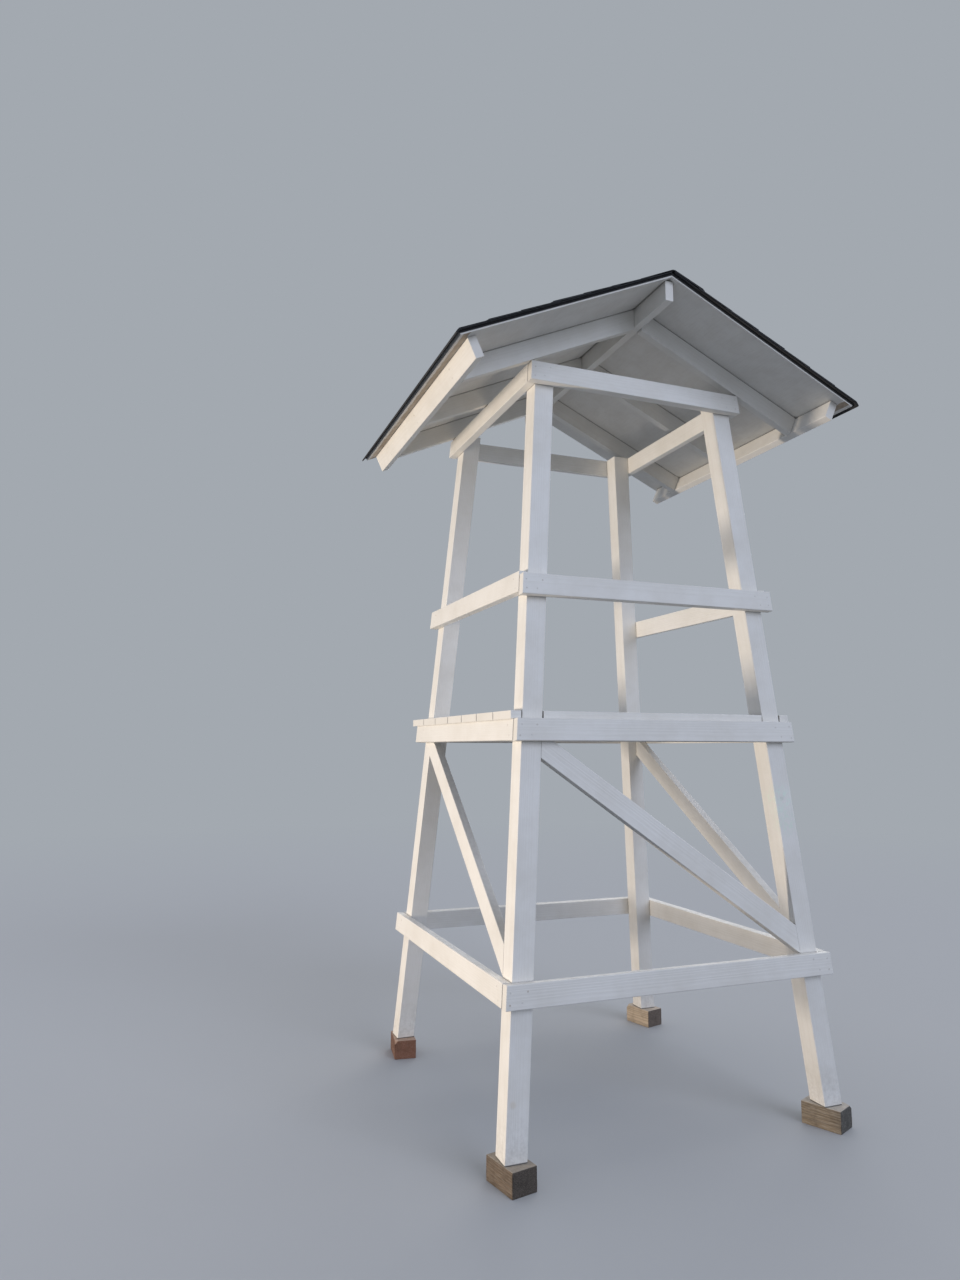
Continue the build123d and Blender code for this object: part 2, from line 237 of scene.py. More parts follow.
def bare_pine(name, turn, middle, wood, end, dust):
    """Weathered sawn pine: dark rings on the sawn ends, streaks along the sides, dust on top.
    The grain runs along the block, and the heart of the tree lies outside it, below one side."""
    ring_gap = 0.0055
    grain_stretch = 18
    fibre_width = 0.0022
    stain_size = 0.07
    grit_size = 0.012
    heart_aside = 0.06
    heart_below = 0.05
    material = bpy.data.materials.new(name)
    tree = empty_tree(material)
    heart = Vector(middle) + Vector((heart_aside, 0, -heart_below))
    coords = add_node(tree, "TexCoord")
    wood_space = add_node(
        tree,
        "Mapping",
        {"Vector": coords.outputs["Object"], "Location": heart, "Rotation": (0, 0, turn)},
        vector_type="TEXTURE",
    )
    drawn_out = add_node(tree, "Mapping", {"Vector": wood_space, "Scale": (1, 1 / grain_stretch, 1)})
    rings = add_node(
        tree,
        "TexWave",
        {
            "Vector": drawn_out,
            "Scale": ring_unit / ring_gap,
            "Distortion": 3.5,
            "Detail": 2,
            "Detail Scale": 1.5,
        },
        wave_type="RINGS",
        rings_direction="Y",
    )
    fibres = add_node(tree, "TexNoise", {"Vector": drawn_out, "Scale": 1 / fibre_width, "Detail": 4})
    stains = add_node(
        tree, "TexNoise", {"Vector": wood_space, "Scale": 1 / stain_size, "Detail": 5, "Roughness": 0.65}
    )
    grit = add_node(
        tree, "TexNoise", {"Vector": wood_space, "Scale": 1 / grit_size, "Detail": 5, "Roughness": 0.7}
    )

    # The sawn ends have a colour of their own
    along = (-math.sin(turn), math.cos(turn), 0)
    end_on = add_node(tree, "VectorMath", {0: coords.outputs["Normal"], 1: along}, operation="DOT_PRODUCT")
    end_on = add_node(tree, "Math", {0: end_on.outputs["Value"]}, operation="ABSOLUTE")
    end_on = add_node(tree, "MapRange", {"Value": end_on, "From Min": 0.6, "From Max": 0.85})
    base = add_node(tree, "MixRGB", {"Fac": end_on, "Color1": linear(wood), "Color2": linear(end)})
    dark = add_node(tree, "MixRGB", {"Fac": 0.55, "Color1": base, "Color2": (0, 0, 0, 1)})
    late_wood = add_node(
        tree, "MapRange", {"Value": rings.outputs["Fac"], "From Min": 0.35, "From Max": 1, "To Max": 0.55}
    )
    ringed = add_node(tree, "MixRGB", {"Fac": late_wood, "Color1": base, "Color2": dark})
    streak = add_node(
        tree,
        "MapRange",
        {"Value": fibres.outputs["Fac"], "From Min": 0.45, "From Max": 0.75, "To Max": 0.5},
    )
    streaked = add_node(tree, "MixRGB", {"Fac": streak, "Color1": ringed, "Color2": linear(dust)})
    stain = add_node(
        tree, "MapRange", {"Value": stains.outputs["Fac"], "From Min": 0.5, "From Max": 0.72, "To Max": 0.7}
    )
    stained = add_node(tree, "MixRGB", {"Fac": stain, "Color1": streaked, "Color2": dark})

    # Dust lies on what faces up
    facing = add_node(tree, "SeparateXYZ", {"Vector": coords.outputs["Normal"]})
    upward = add_node(tree, "MapRange", {"Value": facing.outputs["Z"], "From Min": 0.3, "From Max": 0.9})
    dusty = add_node(
        tree, "MapRange", {"Value": grit.outputs["Fac"], "From Min": 0.3, "From Max": 0.6, "To Min": 0.6}
    )
    cover = add_node(tree, "Math", {0: upward, 1: dusty}, operation="MULTIPLY")
    finished = add_node(tree, "MixRGB", {"Fac": cover, "Color1": stained, "Color2": linear(dust)})
    relief = add_node(tree, "Math", {0: fibres.outputs["Fac"], 1: rings.outputs["Fac"]}, operation="ADD")
    relief = add_node(tree, "Math", {0: relief, 1: grit.outputs["Fac"]}, operation="ADD")
    bump = add_node(tree, "Bump", {"Height": relief, "Strength": 0.6, "Distance": 0.0012})
    surface = add_node(
        tree, "BsdfPrincipled", {"Base Color": finished, "Roughness": 0.92, "IOR": 1.5, "Normal": bump}
    )
    add_node(tree, "OutputMaterial", {"Surface": surface})
    return material


for number, (corner, facts) in enumerate(block_facts.items()):
    low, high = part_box(corner + "_foot_block")
    block_height = high.z - low.z
    bpy.ops.mesh.primitive_cube_add(size=1, location=(0, 0, 0))
    block = bpy.context.object
    block.name = corner + "_rough_block"
    bpy.ops.object.mode_set(mode="EDIT")
    bpy.ops.mesh.select_all(action="SELECT")
    bpy.ops.transform.translate(value=(0, 0, 0.5))
    stock = (block_width - 2 * saw_wander, block_length - 2 * saw_wander, block_height)
    bpy.ops.transform.resize(value=stock, center_override=(0, 0, 0))
    chip_x, chip_y = facts["chip"]
    chip = Vector((chip_x * stock[0] / 2, chip_y * stock[1] / 2, stock[2]))
    chip_slope = Vector((chip_x * chip_lean[0], chip_y * chip_lean[1], chip_lean[2]))
    bpy.ops.mesh.bisect(
        plane_co=chip - chip_slope.normalized() * chip_depth,
        plane_no=chip_slope,
        use_fill=True,
        clear_outer=True,
    )
    bpy.ops.mesh.select_all(action="SELECT")
    bpy.ops.mesh.bevel(offset=block_edge, segments=2, affect="EDGES")
    bpy.ops.mesh.select_all(action="SELECT")
    bpy.ops.mesh.quads_convert_to_tris()
    bpy.ops.mesh.subdivide(number_cuts=3)
    pick(block, "VERT", lambda co: flat_share * block_height < co.z < (1 - flat_share) * block_height)
    bpy.ops.transform.vertex_random(offset=saw_wander, seed=number)
    bpy.ops.mesh.select_all(action="SELECT")
    bpy.ops.mesh.normals_make_consistent(inside=False)
    bpy.ops.object.mode_set(mode="OBJECT")
    middle = (low + high) / 2
    turn = math.radians(facts["turn"])
    place(block, Matrix.Translation((middle.x, middle.y, low.z)) @ Matrix.Rotation(turn, 4, "Z"))
    shades = facts["wood"], facts["end"], facts["dust"]
    block.data.materials.append(bare_pine("weathered_pine_" + corner, turn, middle, *shades))
    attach(block, "root")
    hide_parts(corner + "_foot_block")


# Posts: dressed 4 by 4 pine, brushed with white satin paint after the frame was put up. The
# grain, a few knots and the brush marks show faintly through. Dust and dirt have splashed on
# to the feet, and one post has a pale greenish, scuffed patch below the deck.
paint = "#F1EFEA"
thin_paint = "#DEDAD1"
grime = "#8E867B"
knot_stain = "#C9AE84"
sawn_end = "#C9C3B7"
# Dirt in the joints, mixed with painted shade where ambient occlusion finds corners
joint_dirt_and_shade = "#6F685F"
foot_shadow = "#2E2A26"
splash_full = 0.09
splash_gone = 0.3
shadow_full = 0.003
shadow_gone = 0.005
corners = ("front_left", "front_right", "back_left", "back_right")
foot_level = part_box("front_left_post")[0].z


def board_frame(node):
    """The middle of a board and the direction of its length, from the ends of its mesh."""
    low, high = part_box(node)
    sizes = high - low
    longest = max(range(3), key=lambda axis: sizes[axis])
    middle = (low + high) / 2
    places = [vertex.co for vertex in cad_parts[node].data.vertices]
    ends = [
        [co for co in places if (co[longest] > middle[longest]) == far]
        for far in (False, True)
    ]
    near_end, far_end = [sum(end, Vector()) / len(end) for end in ends]
    return middle, (far_end - near_end).normalized()


def painted_pine(node, splashed=False, patches=()):
    """White satin paint on dressed pine. What shows: a soft sheen, brush marks along the board,
    growth rings and knots telegraphing faintly, duller sawn ends, dirt and painted shade in joints."""
    ring_gap = 0.007
    grain_stretch = 22
    bristle_gap = 0.003
    cloud_size = 0.16
    knot_spacing = 0.2
    knotless_share = 0.55
    knot_bleed = 0.22
    end_dullness = 0.16
    speck_size = 0.02
    patch_core = 0.4
    middle, along = board_frame(node)
    draw = random.Random(node)
    stands = abs(along.z) > 0.9
    across = Vector((1, 0, 0)) if stands else Vector((-along.y, along.x, 0))
    heart_aside = draw.uniform(0.035, 0.075)
    heart_rise = draw.uniform(-0.06, -0.02)
    heart_shift = draw.uniform(-0.5, 0.5)
    heart = middle + across * heart_aside + Vector((0, 0, heart_rise))
    heart += along * heart_shift
    material = bpy.data.materials.new("satin_paint_on_pine_" + node)
    tree = empty_tree(material)
    coords = add_node(tree, "TexCoord")
    board_turn = along.to_track_quat("X", "Z").to_euler()
    board = add_node(
        tree,
        "Mapping",
        {"Vector": coords.outputs["Object"], "Location": heart, "Rotation": board_turn},
        vector_type="TEXTURE",
    )
    drawn_out = add_node(tree, "Mapping", {"Vector": board, "Scale": (1 / grain_stretch, 1, 1)})
    rings = add_node(
        tree,
        "TexWave",
        {
            "Vector": drawn_out,
            "Scale": ring_unit / ring_gap,
            "Distortion": 4,
            "Detail": 2,
            "Detail Scale": 1.2,
        },
        wave_type="RINGS",
        rings_direction="X",
    )
    brushing = add_node(tree, "TexNoise", {"Vector": drawn_out, "Scale": 1 / bristle_gap, "Detail": 3})
    clouds = add_node(
        tree, "TexNoise", {"Vector": board, "Scale": 1 / cloud_size, "Detail": 4, "Roughness": 0.6}
    )

    # A knot at the middle of some cells
    knots = add_node(tree, "TexVoronoi", {"Vector": board, "Scale": 1 / knot_spacing})
    chance = add_node(tree, "SeparateColor", {"Color": knots.outputs["Color"]})
    is_knot = add_node(tree, "Math", {0: chance.outputs[0], 1: knotless_share}, operation="GREATER_THAN")
    knot_core = add_node(
        tree,
        "MapRange",
        {"Value": knots.outputs["Distance"], "From Min": 0.035, "From Max": 0.085, "To Min": 1, "To Max": 0},
    )
    knot = add_node(tree, "Math", {0: is_knot, 1: knot_core}, operation="MULTIPLY")

    # The paint is thin in clouds, over the late wood and along the brush marks
    uneven = add_node(
        tree,
        "MapRange",
        {"Value": clouds.outputs["Fac"], "From Min": 0.4, "From Max": 0.75, "To Max": 0.55},
    )
    colour = add_node(tree, "MixRGB", {"Fac": uneven, "Color1": linear(paint), "Color2": linear(thin_paint)})
    late_wood = add_node(
        tree, "MapRange", {"Value": rings.outputs["Fac"], "From Min": 0.5, "From Max": 1, "To Max": 0.16}
    )
    colour = add_node(tree, "MixRGB", {"Fac": late_wood, "Color1": colour, "Color2": linear(thin_paint)})
    streak = add_node(
        tree,
        "MapRange",
        {"Value": brushing.outputs["Fac"], "From Min": 0.55, "From Max": 0.8, "To Max": 0.35},
    )
    colour = add_node(tree, "MixRGB", {"Fac": streak, "Color1": colour, "Color2": linear(thin_paint)})
    bleed = add_node(tree, "Math", {0: knot, 1: knot_bleed}, operation="MULTIPLY")
    colour = add_node(tree, "MixRGB", {"Fac": bleed, "Color1": colour, "Color2": linear(knot_stain)})

    # Sawn ends drink the paint and look duller
    end_on = add_node(tree, "VectorMath", {0: coords.outputs["Normal"], 1: along}, operation="DOT_PRODUCT")
    end_on = add_node(tree, "Math", {0: end_on.outputs["Value"]}, operation="ABSOLUTE")
    end_on = add_node(tree, "MapRange", {"Value": end_on, "From Min": 0.75, "From Max": 0.95})
    dull = add_node(tree, "Math", {0: end_on, 1: end_dullness}, operation="MULTIPLY")
    colour = add_node(tree, "MixRGB", {"Fac": dull, "Color1": colour, "Color2": linear(sawn_end)})

    # Dust lies on what faces up, and dirt is splashed on from the ground
    specks = add_node(
        tree, "TexNoise", {"Vector": board, "Scale": 1 / speck_size, "Detail": 6, "Roughness": 0.7}
    )
    specked = add_node(
        tree, "MapRange", {"Value": specks.outputs["Fac"], "From Min": 0.42, "From Max": 0.68}
    )
    facing = add_node(tree, "SeparateXYZ", {"Vector": coords.outputs["Normal"]})
    upward = add_node(
        tree, "MapRange", {"Value": facing.outputs["Z"], "From Min": 0.6, "From Max": 0.95, "To Max": 0.2}
    )
    dust = add_node(tree, "Math", {0: upward, 1: specked}, operation="MULTIPLY")
    colour = add_node(tree, "MixRGB", {"Fac": dust, "Color1": colour, "Color2": linear(grime)})
    if splashed:
        height = add_node(tree, "SeparateXYZ", {"Vector": coords.outputs["Object"]})
        low_down = add_node(
            tree,
            "MapRange",
            {
                "Value": height.outputs["Z"],
                "From Min": splash_full,
                "From Max": splash_gone,
                "To Min": 0.25,
                "To Max": 0,
            },
            interpolation_type="SMOOTHSTEP",
        )
        splash = add_node(tree, "Math", {0: low_down, 1: specked}, operation="MULTIPLY")
        colour = add_node(tree, "MixRGB", {"Fac": splash, "Color1": colour, "Color2": linear(grime)})
    for spot, radius, stain, strength in patches:
        distance = add_node(
            tree, "VectorMath", {0: coords.outputs["Object"], 1: spot}, operation="DISTANCE"
        )
        near = add_node(
            tree,
            "MapRange",
            {
                "Value": distance.outputs["Value"],
                "From Min": patch_core * radius,
                "From Max": radius,
                "To Min": strength,
                "To Max": 0,
            },
        )
        patch = add_node(tree, "Math", {0: near, 1: specked}, operation="MULTIPLY")
        colour = add_node(tree, "MixRGB", {"Fac": patch, "Color1": colour, "Color2": linear(stain)})

    # Dirt has gathered in the joints, and painted shade from ambient occlusion darkens them and
    # other corners between parts. A post is also dark where it meets its block: a painted shadow
    # of the gap under it
    nook = add_node(tree, "AmbientOcclusion", {"Distance": 0.011}, samples=4)
    joint_dirt_and_shade_mask = add_node(
        tree,
        "MapRange",
        {"Value": nook.outputs["AO"], "From Min": 0.35, "From Max": 0.75, "To Min": 0.55, "To Max": 0},
    )
    colour = add_node(tree, "MixRGB", {"Fac": joint_dirt_and_shade_mask, "Color1": colour, "Color2": linear(joint_dirt_and_shade)})
    if splashed:
        meeting = add_node(
            tree,
            "MapRange",
            {
                "Value": height.outputs["Z"],
                "From Min": foot_level + shadow_full,
                "From Max": foot_level + shadow_gone,
                "To Min": 0.85,
                "To Max": 0,
            },
        )
        colour = add_node(
            tree, "MixRGB", {"Fac": meeting, "Color1": colour, "Color2": linear(foot_shadow)}
        )

    relief = add_node(tree, "Math", {0: rings.outputs["Fac"], 1: brushing.outputs["Fac"]}, operation="ADD")
    relief = add_node(tree, "Math", {0: relief, 1: knot}, operation="ADD")
    bump = add_node(tree, "Bump", {"Height": relief, "Strength": 0.35, "Distance": 0.0006})
    sheen = add_node(tree, "MapRange", {"Value": brushing.outputs["Fac"], "To Min": 0.36, "To Max": 0.56})
    surface = add_node(
        tree, "BsdfPrincipled", {"Base Color": colour, "Roughness": sheen, "IOR": 1.48, "Normal": bump}
    )
    add_node(tree, "OutputMaterial", {"Surface": surface})
    return material


def repaint(node, material):
    """Gives a CAD node its finish."""
    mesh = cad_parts[node].data
    mesh.materials.clear()
    mesh.materials.append(material)


# Each patch: its place, its radius, its colour and how strong it is
scuffed_patch = [
    ((0.597, -0.645, 1.335), 0.085, "#E8F6EA", 1),
    ((0.604, -0.649, 1.345), 0.016, "#8F978C", 0.6),
    ((0.615, -0.652, 1.24), 0.07, "#E2F0E2", 0.9),
]
post_patches = {"front_right": scuffed_patch}
for corner in corners:
    post = corner + "_post"
    repaint(post, painted_pine(post, splashed=True, patches=post_patches.get(corner, ())))


# Rails, handrails and braces: dressed 2 by 4 pine. The rails lie flat on the posts' faces,
# the front ones lapping the side ones' ends, and each brace fits between two posts. All are
# nailed, and painted with the posts.
rails = [
    face + "_" + kind
    for kind in ("bottom_rail", "platform_rail", "handrail", "top_rail")
    for face in ("front", "left", "right", "back")
    if (face, kind) != ("back", "handrail")
]
braces = [face + "_brace" for face in ("front", "left", "right")]
for node in rails + braces:
    repaint(node, painted_pine(node))


# Deck planks: seven planks about 190 mm wide and 33 mm thick, laid from side to side on the
# side rails and notched round the posts. They are nailed twice at each end and painted, and
# feet have left them dusty.
for node in ("front_deck_plank", "middle_deck_planks", "back_deck_plank"):
    repaint(node, painted_pine(node))


# Nails: flat-headed wire nails, their heads painted over with the boards. The heads stand
# # proud by less than a millimetre, and each shows as a small dull disc, a little greyer than
# # the paint round it; the grey is partly painted shade, for the dimple round each head.
head_radius = 0.0038
head_depth = 0.003
head_proud = 0.0008
head_rounding = 0.0006
head_wander = 0.004
head_sides = 12
# A little greyer than the boards' paint: partly painted shade, for the dimple round each head
head_paint_and_dimple_shade = "#E0DDD7"
head_rust = "#B9A996"
post_side = 0.089
board_thickness = 0.038
board_depth = 0.089
post_low, post_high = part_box("front_left_post")
half_base_x = -post_low.x
stand_y = (post_low.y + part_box("back_left_post")[1].y) / 2
half_base_y = stand_y - post_low.y
lean = (post_high.x - post_side - post_low.x) / (post_high.z - post_low.z)
slant = math.hypot(1, lean)


def painted_nail(name):
    """Paint over bright steel: like the boards, but smoother, with a rusty tinge at some heads."""
    rust_size = 0.05
    brush_mark = 0.002
    material = bpy.data.materials.new(name)
    tree = empty_tree(material)
    coords = add_node(tree, "TexCoord")
    rust = add_node(
        tree, "TexNoise", {"Vector": coords.outputs["Object"], "Scale": 1 / rust_size, "Detail": 3}
    )
    rusty = add_node(
        tree, "MapRange", {"Value": rust.outputs["Fac"], "From Min": 0.54, "From Max": 0.66, "To Max": 0.6}
    )
    # The heads' grey paint, partly painted shade, with rust at some
    colour = add_node(
        tree, "MixRGB", {"Fac": rusty, "Color1": linear(head_paint_and_dimple_shade), "Color2": linear(head_rust)}
    )
    fine = add_node(
        tree, "TexNoise", {"Vector": coords.outputs["Object"], "Scale": 1 / brush_mark, "Detail": 2}
    )
    bump = add_node(tree, "Bump", {"Height": fine.outputs["Fac"], "Strength": 0.3, "Distance": 0.0004})
    surface = add_node(
        tree, "BsdfPrincipled", {"Base Color": colour, "Roughness": 0.5, "IOR": 1.48, "Normal": bump}
    )
    add_node(tree, "OutputMaterial", {"Surface": surface})
    return material


bpy.ops.mesh.primitive_cylinder_add(vertices=head_sides, radius=head_radius, depth=head_depth)
nail_model = bpy.context.object
bpy.ops.object.mode_set(mode="EDIT")
pick(nail_model, "FACE", lambda co: co.z > head_depth / 4)
bpy.ops.mesh.bevel(offset=head_rounding, segments=2, affect="EDGES")
bpy.ops.object.mode_set(mode="OBJECT")
nail_model.data.materials.append(painted_nail("painted_steel_nail_heads"))


def join(pieces, name):
    """Joins several objects into one mesh under a name."""
    bpy.ops.object.select_all(action="DESELECT")
    for piece in pieces:
        piece.select_set(True)
    bpy.context.view_layer.objects.active = pieces[0]
    bpy.ops.object.join()
    joined = bpy.context.object
    joined.name = name
    bpy.ops.object.select_all(action="DESELECT")
    return joined


def copy_of(model):
    """A copy of a piece with a mesh of its own."""
    twin = model.copy()
    twin.data = model.data.copy()
    bpy.context.scene.collection.objects.link(twin)
    return twin


def nails(name, spots, model):
    """One head at each spot, a place on a board's face and the direction that the face looks in."""
    draw = random.Random(name)
    heads = []
    for spot, facing in spots:
        head = copy_of(model)
        turn = facing.to_track_quat("Z", "Y").to_matrix().to_4x4()
        off_x = draw.uniform(-head_wander, head_wander)
        off_y = draw.uniform(-head_wander, head_wander)
        sunk = Vector((off_x, off_y, head_proud - head_depth / 2))
        place(head, Matrix.Translation(spot) @ turn @ Matrix.Translation(sunk))
        heads.append(head)
    joined = join(heads, name)
    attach(joined, "root")


def face_spot(face, along, height, proud):
    """A spot on one leaning face of the frame: how far from its middle, how high above the posts'
    feet, and how far out from the posts' faces; with the direction that the face looks in."""
    side = -1 if face in ("front", "left") else 1
    if face in ("front", "back"):
        out = side * (half_base_y - lean * height + proud * slant)
        spot = Vector((along, stand_y + out, foot_level + height))
        return spot, Vector((0, side, lean)).normalized()
    out = side * (half_base_x - lean * height + proud * slant)
    spot = Vector((out, stand_y + along, foot_level + height))
    return spot, Vector((side, 0, lean)).normalized()


# Two nails in each post, one above the other but staggered: how far up the rail, as a share of
# its depth, and how far in from the post's outer edge, as a share of the post's width
rail_nails = {0.27: 0.35, 0.73: 0.6}
for node in rails:
    face = node.split("_")[0]
    low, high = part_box(node)
    spots = []
    for share, inset in rail_nails.items():
        height = low.z + share * (high.z - low.z) - foot_level
        half_span = (half_base_x if face in ("front", "back") else half_base_y) - lean * height
        for hand in (-1, 1):
            in_post = hand * (half_span - post_side * inset)
            spots.append(face_spot(face, in_post, height, board_thickness))
            if face == "front":
                in_side_rail = hand * (half_span + board_thickness / 2)
                spots.append(face_spot(face, in_side_rail, height, board_thickness))
    nails(node + "_nails", spots, nail_model)

plank_count = 7
plank_nail_inset = 0.030
plank_nail_reach = 0.055
deck_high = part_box("middle_deck_planks")[1]
deck_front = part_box("front_deck_plank")[0].y
deck_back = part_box("back_deck_plank")[1].y
spots = []
for number in range(plank_count):
    plank_middle = deck_front + (number + 0.5) * (deck_back - deck_front) / plank_count
    for hand in (-1, 1):
        nail_x = hand * (deck_high.x - plank_nail_inset)
        for step in (-plank_nail_reach, plank_nail_reach):
            spots.append((Vector((nail_x, plank_middle + step, deck_high.z)), Vector((0, 0, 1))))
nails("deck_nails", spots, nail_model)


# Ridge beam, rafters and fascias: dressed 2 by 4 pine. Three pairs of rafters are cut plumb
# against the ridge beam and rest on the top rails, and the fascias are nailed over their
# tails. They were painted with the rest, from below.
pitch = math.radians(24.5)
sheathing_thickness = 0.015
rafter_length = 0.970
fascia_outer = rafter_length + board_thickness
fascia_nail_shares = (0.28, 0.72)
apex_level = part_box("left_roof_sheathing")[1].z - sheathing_thickness / math.cos(pitch)
for node in ["ridge_beam", "left_fascia", "right_fascia"] + rafters:
    repaint(node, painted_pine(node))


def slope_spot(side, down, y, above):
    """A spot in the roof: down the slope from the apex, and square to the rafters' top edges."""
    x = side * (down * math.cos(pitch) + above * math.sin(pitch))
    return Vector((x, y, apex_level - down * math.sin(pitch) + above * math.cos(pitch)))


for hand, side in {"left": -1, "right": 1}.items():
    spots = []
    for row in ("front", "middle", "back"):
        low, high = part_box(row + "_" + hand + "_rafter")
        for share in fascia_nail_shares:
            spot = slope_spot(side, fascia_outer, (low.y + high.y) / 2, -share * board_depth)
            spots.append((spot, Vector((side * math.cos(pitch), 0, -math.sin(pitch)))))
    nails(hand + "_fascia_nails", spots, nail_model)


# Sheathing: sheets of 15 mm plywood nailed to the rafters, painted white underneath and on
# the edges with one thin, patchy coat. A strip outside the fascia was missed by the brush
# and shows bare tan wood.
ply_paint = "#ECEAE5"
ply_thin_paint = "#DAD6CF"
ply_grain = "#CBC6BC"
bare_ply = "#C6B8A6"
bare_ply_dark = "#9C8469"
# Dirt and painted shade in the joints with the rafters and fascias
ply_joint_dirt_and_shade = "#6B645B"
missed_width = 0.031
missed_fade_in = 0.004
missed_fade_out = 0.003


def painted_plywood(name, side):
    """Thin matt paint on plywood: mottled white below, a bare tan strip outside the fascia."""
    grain_width = 0.006
    grain_stretch = 14
    coat_patch = 0.11
    smear_size = 0.03
    smear_reach = 0.010
    bare_strength = 0.85
    looks_down = -0.7
    material = bpy.data.materials.new(name)
    tree = empty_tree(material)
    coords = add_node(tree, "TexCoord")
    veneer = add_node(
        tree, "Mapping", {"Vector": coords.outputs["Object"], "Scale": (1, 1 / grain_stretch, 1)}
    )
    grain = add_node(
        tree, "TexNoise", {"Vector": veneer, "Scale": 1 / grain_width, "Detail": 4, "Distortion": 0.6}
    )
    coat = add_node(
        tree,
        "TexNoise",
        {"Vector": coords.outputs["Object"], "Scale": 1 / coat_patch, "Detail": 5, "Roughness": 0.62},
    )
    thin = add_node(
        tree, "MapRange", {"Value": coat.outputs["Fac"], "From Min": 0.4, "From Max": 0.72, "To Max": 0.6}
    )
    colour = add_node(
        tree, "MixRGB", {"Fac": thin, "Color1": linear(ply_paint), "Color2": linear(ply_thin_paint)}
    )
    veined = add_node(
        tree, "MapRange", {"Value": grain.outputs["Fac"], "From Min": 0.5, "From Max": 0.8, "To Max": 0.25}
    )
    colour = add_node(tree, "MixRGB", {"Fac": veined, "Color1": colour, "Color2": linear(ply_grain)})

    # How far down the slope a point lies from the apex
    axes = add_node(tree, "SeparateXYZ", {"Vector": coords.outputs["Object"]})
    out = add_node(tree, "Math", {0: axes.outputs["X"], 1: side * math.cos(pitch)}, operation="MULTIPLY")
    drop = add_node(tree, "Math", {0: apex_level, 1: axes.outputs["Z"]}, operation="SUBTRACT")
    fall = add_node(tree, "Math", {0: drop, 1: math.sin(pitch)}, operation="MULTIPLY")
    down = add_node(tree, "Math", {0: out, 1: fall}, operation="ADD")

    # The bare strip between the fascia and the painted edge, with smears of paint at both sides
    smear = add_node(
        tree, "TexNoise", {"Vector": coords.outputs["Object"], "Scale": 1 / smear_size, "Detail": 4}
    )
    smear = add_node(
        tree, "MapRange", {"Value": smear.outputs["Fac"], "To Min": -smear_reach, "To Max": smear_reach}
    )
    ragged = add_node(tree, "Math", {0: down, 1: smear}, operation="ADD")
    missed = add_node(
        tree,
        "MapRange",
        {"Value": ragged, "From Min": fascia_outer, "From Max": fascia_outer + missed_fade_in},
    )
    edge_paint = fascia_outer + missed_width
    painted = add_node(
        tree,
        "MapRange",
        {"Value": ragged, "From Min": edge_paint, "From Max": edge_paint + missed_fade_out},
    )
    missed = add_node(tree, "Math", {0: missed, 1: painted}, operation="SUBTRACT", use_clamp=True)
    facing = add_node(tree, "SeparateXYZ", {"Vector": coords.outputs["Normal"]})
    below = add_node(tree, "Math", {0: facing.outputs["Z"], 1: looks_down}, operation="LESS_THAN")
    missed = add_node(tree, "Math", {0: missed, 1: below}, operation="MULTIPLY")
    missed = add_node(tree, "Math", {0: missed, 1: bare_strength}, operation="MULTIPLY")
    mottled = add_node(
        tree, "MapRange", {"Value": coat.outputs["Fac"], "From Min": 0.35, "From Max": 0.65}
    )
    bare = add_node(
        tree, "MixRGB", {"Fac": mottled, "Color1": linear(bare_ply), "Color2": linear(bare_ply_dark)}
    )
    colour = add_node(tree, "MixRGB", {"Fac": missed, "Color1": colour, "Color2": bare})

    # Dirt in the joints with the rafters and fascias, and painted shade there from ambient occlusion
    nook = add_node(tree, "AmbientOcclusion", {"Distance": 0.02}, samples=4)
    joint_dirt_and_shade_mask = add_node(
        tree,
        "MapRange",
        {"Value": nook.outputs["AO"], "From Min": 0.35, "From Max": 0.75, "To Min": 0.7, "To Max": 0},
    )
    colour = add_node(tree, "MixRGB", {"Fac": joint_dirt_and_shade_mask, "Color1": colour, "Color2": linear(ply_joint_dirt_and_shade)})
    bump = add_node(tree, "Bump", {"Height": grain.outputs["Fac"], "Strength": 0.35, "Distance": 0.0006})
    surface = add_node(
        tree, "BsdfPrincipled", {"Base Color": colour, "Roughness": 0.72, "IOR": 1.48, "Normal": bump}
    )
    add_node(tree, "OutputMaterial", {"Surface": surface})
    return material


for hand, side in {"left": -1, "right": 1}.items():
    repaint(hand + "_roof_sheathing", painted_plywood("thin_paint_on_plywood_" + hand, side))


# Roofing: three-tab asphalt shingles in black, nailed up the slope over a felt underlay and a
# starter strip, so that two or three layers lie over each other. Each course is shifted by
# half a tab, so that every second one ends in half a slot and stands back a little there.
felt_thickness = 0.0025
shingle_thickness = 0.0032
shingle_height = 0.337
shingle_length = 0.999
tab_count = 3
tab_width = 0.333
slot_width = 0.009
slot_stop = 0.012
exposure = 0.153
course_count = 7
course_lap = 0.020
strip_gap = 0.001
butt_wander = 0.002
tab_height = 0.007
rake_unevenness = 0.002
eave_overhang = 0.048
eave_drip = 0.022
starter_reach = 0.18
ridge_spare = 0.01
# The top courses of the left slope, and the ridge strip there, are cut short at the front
short_courses = 2
cut_short = 0.016
slate_dark = "#1D1E21"
slate_light = "#414347"
pale_tab = "#3E4044"
chalk = "#4B4A48"
# Dirt and painted shade under the butts and in the slots
roof_dirt_and_shade = "#08080A"
roof_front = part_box("left_roofing")[0].y
roof_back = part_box("left_roofing")[1].y
roofing_length = fascia_outer + eave_overhang + eave_drip


